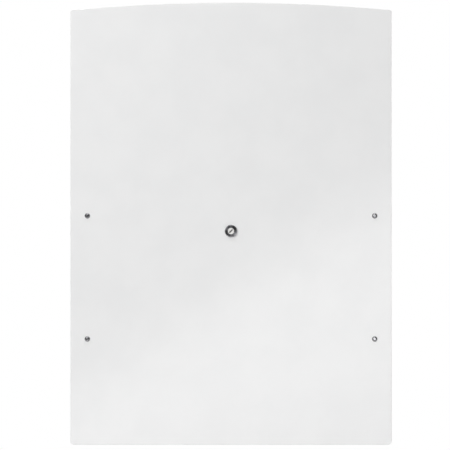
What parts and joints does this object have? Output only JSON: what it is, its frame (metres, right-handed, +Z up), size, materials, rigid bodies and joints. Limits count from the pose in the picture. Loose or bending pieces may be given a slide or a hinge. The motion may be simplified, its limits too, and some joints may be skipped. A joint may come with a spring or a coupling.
{
  "type": "checkout security gate",
  "caption": "Self-closing swing gate for a shop lane: flat white leaf with an arched top on a rear tube frame, sprung hinge column on a bolted plate, and a key lock with a sliding bolt.",
  "frame": {"origin": "middle of the mounting plate's four-hole pattern, on the plate's back face", "axes": "+X along the closed leaf from the hinge to the free edge, -Y out of the leaf's front face, +Y out of the mounting plate's back face, +Z up"},
  "size_m": [0.61, 0.0951, 0.84],
  "materials": {
    "white_panel": "semi-gloss white with a fine mottle",
    "frame_paint": "satin light grey powder coat",
    "stainless_screws": "dark polished stainless steel",
    "lock_chrome": "smoked chrome plate",
    "plug_nickel": "satin nickel plate",
    "ground_steel": "ground bright steel bar",
    "zinc_steel": "zinc plated steel",
    "black_steel": "black oxide steel",
    "black_plastic": "matte black nylon",
    "bush_nylon": "natural nylon",
    "black_rubber": "matte rubber",
    "grey_rubber": "matte rubber"
  },
  "bodies": {
    "post": {"mounting_plate": "frame_paint", "upper_bracket": "frame_paint", "lower_bracket": "frame_paint", "bracket_screws": "zinc_steel", "pivot_shaft": "ground_steel", "shaft_caps": "black_plastic", "shaft_set_screws": "black_steel", "thrust_washer": "zinc_steel", "closing_spring": "black_steel", "spring_collar": "zinc_steel", "collar_set_screw": "black_steel", "stop_pin": "ground_steel", "stop_sleeve": "black_rubber"},
    "leaf": {"leaf_panel": "white_panel", "panel_screws": "stainless_screws", "panel_pads": "grey_rubber", "panel_bosses": "frame_paint", "hinge_column": "frame_paint", "upper_rail": "frame_paint", "lower_rail": "frame_paint", "free_stile": "frame_paint", "rail_end_caps": "black_plastic", "upper_bush": "bush_nylon", "lower_bush": "bush_nylon", "spring_anchor": "zinc_steel", "anchor_screw": "stainless_screws", "lock_body": "lock_chrome", "lock_washer": "zinc_steel", "lock_nut": "zinc_steel", "inner_guide": "black_plastic", "outer_guide": "black_plastic", "guide_screws": "stainless_screws"},
    "lock_cylinder": {"key_plug": "plug_nickel", "crank_plate": "zinc_steel", "crank_pin": "ground_steel", "crank_screw": "stainless_screws"},
    "bolt": {"bolt_rod": "ground_steel", "bolt_nose": "ground_steel", "bolt_yoke": "zinc_steel", "yoke_rivets": "zinc_steel"}
  },
  "joints": [
    {"name": "gate_swing", "type": "hinge", "parent": "post", "child": "leaf", "pos_m": [0, -0.054, 0], "axis": [0, 0, -1], "range_deg": [0, 90], "stiffness_Nm_per_rad": 2.5, "springref_deg": -22.92, "deforming": ["closing_spring"]},
    {"name": "lock_turn", "type": "hinge", "parent": "leaf", "child": "lock_cylinder", "pos_m": [0.273, -0.08, 0.088], "axis": [0, -1, 0], "range_deg": [0, 90]},
    {"name": "bolt_slide", "type": "slide", "parent": "leaf", "child": "bolt", "axis": [1, 0, 0], "range_m": [0, 0.02404]}
  ],
  "couplings": [
    {"joint": "lock_turn", "follows": "bolt_slide", "rad_per_m": 65.336}
  ]
}
